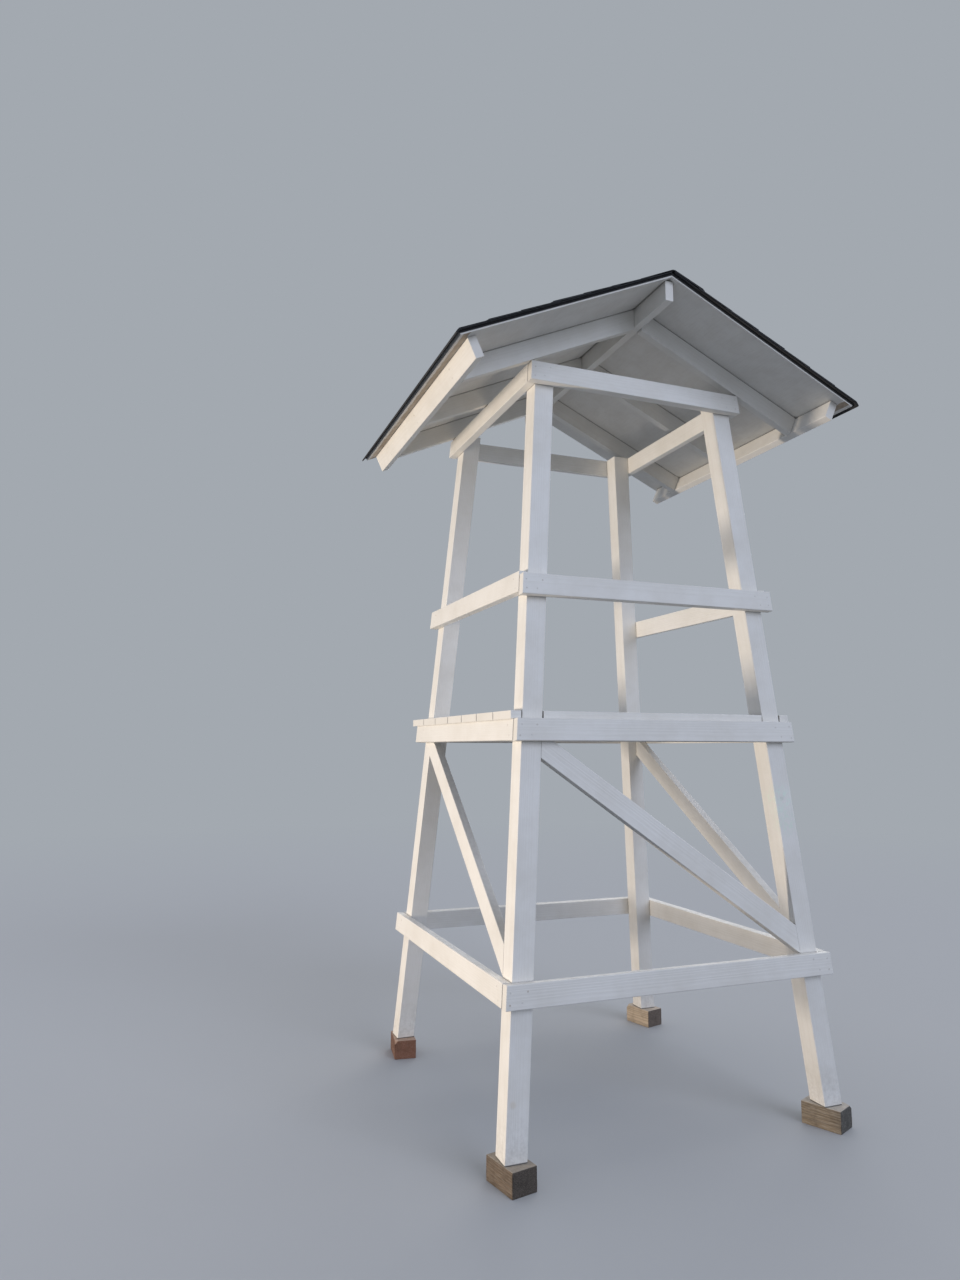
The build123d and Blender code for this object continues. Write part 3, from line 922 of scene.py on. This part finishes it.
def mineral_shingle(name, side, tab_contrast=0.6):
    """Asphalt coated with crushed slate: matt black granules of 1 to 2 mm, drawn at 3 mm so that
    they show, with each tab a shade lighter or darker than the next."""
    granule = 0.003
    weather_patch = 0.25
    material = bpy.data.materials.new(name)
    tree = empty_tree(material)
    coords = add_node(tree, "TexCoord")
    cells = add_node(tree, "TexVoronoi", {"Vector": coords.outputs["Object"], "Scale": 1 / granule})
    cell_tone = add_node(tree, "SeparateColor", {"Color": cells.outputs["Color"]})
    light = add_node(tree, "MapRange", {"Value": cell_tone.outputs[0], "From Min": 0.55, "From Max": 1})
    colour = add_node(
        tree, "MixRGB", {"Fac": light, "Color1": linear(slate_dark), "Color2": linear(slate_light)}
    )

    # A tone for each tab, from its place along its course and its course up the slope
    axes = add_node(tree, "SeparateXYZ", {"Vector": coords.outputs["Object"]})
    courses_out = side / math.cos(pitch) / exposure
    out = add_node(tree, "Math", {0: axes.outputs["X"], 1: courses_out}, operation="MULTIPLY")
    eave_out = (roofing_length + (sheathing_thickness + tab_height) * math.tan(pitch)) / exposure
    course = add_node(tree, "Math", {0: eave_out, 1: out}, operation="SUBTRACT")
    course = add_node(tree, "Math", {0: course}, operation="FLOOR")
    half_step = add_node(tree, "Math", {0: course, 1: 0.5}, operation="MULTIPLY")
    first_slot = roof_front if side < 0 else roof_back
    tab = add_node(tree, "Math", {0: axes.outputs["Y"], 1: first_slot}, operation="SUBTRACT")
    tab = add_node(tree, "Math", {0: tab, 1: -side / tab_width}, operation="MULTIPLY")
    tab = add_node(tree, "Math", {0: tab, 1: half_step}, operation="ADD")
    tab = add_node(tree, "Math", {0: tab}, operation="FLOOR")
    cell = add_node(tree, "CombineXYZ", {"X": course, "Y": tab, "Z": side})
    tone = add_node(tree, "TexWhiteNoise", {"Vector": cell})
    tone = add_node(tree, "MapRange", {"Value": tone.outputs["Value"], "To Max": tab_contrast})
    colour = add_node(tree, "MixRGB", {"Fac": tone, "Color1": colour, "Color2": linear(pale_tab)})

    # The slate has gone chalky in broad patches
    weather = add_node(
        tree, "TexNoise", {"Vector": coords.outputs["Object"], "Scale": 1 / weather_patch, "Detail": 4}
    )
    chalky = add_node(
        tree,
        "MapRange",
        {"Value": weather.outputs["Fac"], "From Min": 0.45, "From Max": 0.8, "To Max": 0.35},
    )
    colour = add_node(tree, "MixRGB", {"Fac": chalky, "Color1": colour, "Color2": linear(chalk)})

    # Dirt lies under the butts and in the slots, and ambient occlusion paints shade there too
    nook = add_node(tree, "AmbientOcclusion", {"Distance": 0.012}, samples=4)
    butt_dirt_and_shade_mask = add_node(
        tree,
        "MapRange",
        {"Value": nook.outputs["AO"], "From Min": 0.5, "From Max": 0.9, "To Min": 0.9, "To Max": 0},
    )
    colour = add_node(tree, "MixRGB", {"Fac": butt_dirt_and_shade_mask, "Color1": colour, "Color2": linear(roof_dirt_and_shade)})
    bump = add_node(tree, "Bump", {"Height": cells.outputs["Distance"], "Strength": 0.6, "Distance": 0.0015})
    surface = add_node(
        tree, "BsdfPrincipled", {"Base Color": colour, "Roughness": 0.9, "IOR": 1.55, "Normal": bump}
    )
    add_node(tree, "OutputMaterial", {"Surface": surface})
    return material


def trim(piece, spot, outward):
    """Saws a piece off at a plane, closes the cut and keeps what lies behind the plane."""
    bpy.context.view_layer.objects.active = piece
    bpy.ops.object.mode_set(mode="EDIT")
    bpy.ops.mesh.select_all(action="SELECT")
    bpy.ops.mesh.bisect(plane_co=spot, plane_no=outward, use_fill=True, clear_outer=True)
    bpy.ops.object.mode_set(mode="OBJECT")


# One strip of three tabs, flat: x runs up the slope from the butts, y along the course
bpy.ops.mesh.primitive_plane_add(size=1, location=(0, 0, 0))
strip_model = bpy.context.object
bpy.ops.object.mode_set(mode="EDIT")
bpy.ops.transform.translate(value=(0.5, 0.5, 0))
bpy.ops.transform.resize(value=(shingle_height, shingle_length, 1), center_override=(0, 0, 0))
slot_tops = exposure - slot_stop
bpy.ops.mesh.bisect(plane_co=(slot_tops, 0, 0), plane_no=(1, 0, 0))
slots = [(number + 0.5) * tab_width for number in range(tab_count)]
for slot_middle in slots:
    for edge in (-slot_width / 2, slot_width / 2):
        bpy.ops.mesh.select_all(action="SELECT")
        bpy.ops.mesh.bisect(plane_co=(0, slot_middle + edge, 0), plane_no=(0, 1, 0))
pick(
    strip_model,
    "FACE",
    lambda co: co.x < slot_tops and min(abs(co.y - slot_middle) for slot_middle in slots) < slot_width / 2,
)
bpy.ops.mesh.delete(type="FACE")
bpy.ops.mesh.select_all(action="SELECT")
bpy.ops.mesh.extrude_region_move(TRANSFORM_OT_translate={"value": (0, 0, shingle_thickness)})
bpy.ops.mesh.select_all(action="SELECT")
bpy.ops.mesh.normals_make_consistent(inside=False)
bpy.ops.object.mode_set(mode="OBJECT")


def plain_layer(start, reach, bottom, thickness, setback):
    """A flat layer under the shingles, from one distance above the eave to another."""
    bpy.ops.mesh.primitive_cube_add(size=1, location=(0, 0, 0))
    layer = bpy.context.object
    bpy.ops.object.mode_set(mode="EDIT")
    bpy.ops.transform.translate(value=(0.5, 0.5, 0.5))
    size = (reach - start, roof_back - roof_front - 2 * setback, thickness)
    bpy.ops.transform.resize(value=size, center_override=(0, 0, 0))
    bpy.ops.transform.translate(value=(start, roof_front + setback, bottom))
    bpy.ops.object.mode_set(mode="OBJECT")
    return layer


def droop(slope):
    """Bends down the lower edge of the roofing, where the sheathing doesn't carry it."""
    bend_lines = (0, 0.008, 0.016)
    drops = (-0.012, -0.0065, -0.002)
    line_reach = 0.004
    bpy.context.view_layer.objects.active = slope
    bpy.ops.object.mode_set(mode="EDIT")
    for line in bend_lines[1:] + (eave_drip,):
        bpy.ops.mesh.select_all(action="SELECT")
        bpy.ops.mesh.bisect(plane_co=(line, 0, 0), plane_no=(1, 0, 0))
    for line, drop in zip(bend_lines, drops):
        pick(slope, "VERT", lambda co: line - line_reach < co.x < line + line_reach)
        bpy.ops.transform.translate(value=(0, 0, drop))
    bpy.ops.object.mode_set(mode="OBJECT")


def shingle_slope(hand, side):
    """One slope's roofing, layer by layer from the eave to the ridge, as one mesh."""
    draw = random.Random(hand + " slope")
    felt = plain_layer(
        start=0.004,
        reach=roofing_length + ridge_spare,
        bottom=0,
        thickness=felt_thickness,
        setback=0.004,
    )
    starter = plain_layer(
        start=0.001,
        reach=starter_reach,
        bottom=felt_thickness,
        thickness=shingle_thickness,
        setback=0.002,
    )
    layers = [felt, starter]
    seat = felt_thickness + shingle_thickness
    settled = felt_thickness + shingle_thickness * shingle_height / exposure
    for course in range(course_count):
        next_seat = (seat + settled) / 2
        fall = (seat + shingle_thickness - next_seat) / exposure
        butt = course * exposure
        # The top course comes down to the felt at the ridge
        if course == course_count - 1:
            fall = (seat - felt_thickness) / (roofing_length - butt)
        # Each second course starts half a tab further out
        first = roof_front - tab_width * (1 if course % 2 else 1.5)
        course_strips = []
        while first < roof_back:
            strip = copy_of(strip_model)
            tilt = Matrix.Rotation(math.atan(fall), 4, "Y")
            butt_place = (butt + draw.uniform(0, butt_wander), first, seat)
            place(strip, Matrix.Translation(butt_place) @ tilt)
            course_strips.append(strip)
            first += shingle_length + strip_gap
        row = join(course_strips, "course")
        setback = draw.uniform(0, rake_unevenness)
        if hand == "left" and course >= course_count - short_courses:
            setback = cut_short
        trim(row, (0, roof_front + setback, 0), (0, -1, 0))
        trim(row, (0, roof_back - draw.uniform(0, rake_unevenness), 0), (0, 1, 0))
        # The last course but one ends just above the top course's butts
        if course == course_count - 2:
            trim(row, (butt + exposure + course_lap, 0, 0), (1, 0, 0))
        layers.append(row)
        seat = next_seat
    slope = join(layers, hand + "_shingles")
    trim(slope, (roofing_length, 0, 0), (math.cos(pitch), 0, -math.sin(pitch)))
    droop(slope)
    lay = Matrix(
        (
            (-side * math.cos(pitch), 0, side * math.sin(pitch), 0),
            (0, -side, 0, 0),
            (math.sin(pitch), 0, math.cos(pitch), 0),
            (0, 0, 0, 1),
        )
    )
    middle_y = (roof_front + roof_back) / 2
    eave = slope_spot(side, roofing_length, middle_y, sheathing_thickness)
    place(slope, Matrix.Translation(eave) @ lay @ Matrix.Translation((0, -middle_y, 0)))
    bpy.context.view_layer.objects.active = slope
    bpy.ops.object.mode_set(mode="EDIT")
    bpy.ops.mesh.select_all(action="SELECT")
    bpy.ops.mesh.normals_make_consistent(inside=False)
    bpy.ops.object.mode_set(mode="OBJECT")
    slope.data.materials.clear()
    slope.data.materials.append(mineral_shingle("black_asphalt_shingle_" + hand, side))
    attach(slope, "root")
    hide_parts(hand + "_roofing")


for hand, side in {"left": -1, "right": 1}.items():
    shingle_slope(hand, side)


# Ridge cap: one strip cut from a roll of the same roofing, 3 mm thick, folded over the ridge
# on to the last courses of both slopes and nailed along both edges with clout nails. Its
# edges are a little uneven, and its left front corner is cut back.
cap_reach = 0.150
cap_fold = 0.008
cap_thickness = 0.003
cap_edge_seat = 0.0124
cap_setback = 0.001
cap_divisions = 28
cap_wander = 0.0012
cap_wander_half = 0.77
cap_corner = 0.02
cap_cut = 1.5 * cut_short
clout_radius = 0.0048
clout_gap = 0.105
clout_inset = 0.022
clout_start = 0.03
clout_end = 0.02
crown_seat = felt_thickness + shingle_thickness
ridge_level = apex_level + (sheathing_thickness + crown_seat) / math.cos(pitch)
cap_edge = slope_spot(1, cap_reach, 0, sheathing_thickness + cap_edge_seat)
cap_middle = (roof_front + roof_back) / 2
bpy.ops.mesh.primitive_grid_add(x_subdivisions=2, y_subdivisions=cap_divisions, size=1, location=(0, 0, 0))
cap = bpy.context.object
cap.name = "ridge_strip"
bpy.ops.object.mode_set(mode="EDIT")
bpy.ops.mesh.select_all(action="SELECT")
cap_size = (2 * cap_edge.x, roof_back - roof_front - 2 * cap_setback, 1)
bpy.ops.transform.resize(value=cap_size, center_override=(0, 0, 0))
bpy.ops.transform.translate(value=(0, cap_middle, ridge_level))
pick(cap, "VERT", lambda co: abs(co.x) > cap_edge.x / 2)
bpy.ops.transform.translate(value=(0, 0, cap_edge.z - ridge_level))
pick(cap, "VERT", lambda co: co.x < -cap_edge.x / 2 and co.y < roof_front + cap_corner)
bpy.ops.transform.translate(value=(0, cap_cut, 0))
pick(cap, "VERT", lambda co: abs(co.x) > cap_edge.x / 2 and abs(co.y - cap_middle) < cap_wander_half)
bpy.ops.transform.vertex_random(offset=cap_wander, seed=3)
pick(cap, "EDGE", lambda co: abs(co.x) < cap_fold / 2)
bpy.ops.mesh.bevel(offset=cap_fold, segments=4, affect="EDGES")
bpy.ops.mesh.select_all(action="SELECT")
bpy.ops.mesh.normals_make_consistent(inside=False)
bpy.ops.object.mode_set(mode="OBJECT")
shell = cap.modifiers.new("thickness", "SOLIDIFY")
shell.thickness = cap_thickness
shell.offset = 1
bpy.context.view_layer.objects.active = cap
bpy.ops.object.modifier_apply(modifier=shell.name)
cap.data.materials.append(mineral_shingle("black_asphalt_ridge_strip", 1, tab_contrast=0))
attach(cap, "root")
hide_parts("ridge_cap")

clout_model = copy_of(nail_model)
widening = clout_radius / head_radius
clout_model.data.transform(Matrix.Diagonal((widening, widening, 1, 1)))
spots = []
for side in (-1, 1):
    facing = Vector((side * math.sin(pitch), 0, math.cos(pitch)))
    spot_y = roof_front + clout_start
    while spot_y < roof_back - clout_end:
        spot = slope_spot(side, cap_reach - clout_inset, spot_y, sheathing_thickness + cap_edge_seat)
        spots.append((spot, facing))
        spot_y += clout_gap
nails("ridge_clout_nails", spots, clout_model)


# Edge strips: folded strips of black felt, laid over the sheathing's sloping edges at the
# front and the back before the shingles, so that the plywood's edges are covered.
for hand, side in {"left": -1, "right": 1}.items():
    repaint(hand + "_roof_edge_strips", mineral_shingle("black_felt_strip_" + hand, side, tab_contrast=0))

# The models that the copies were made from aren't pieces of the tower
for model in (nail_model, clout_model, strip_model):
    bpy.data.objects.remove(model)
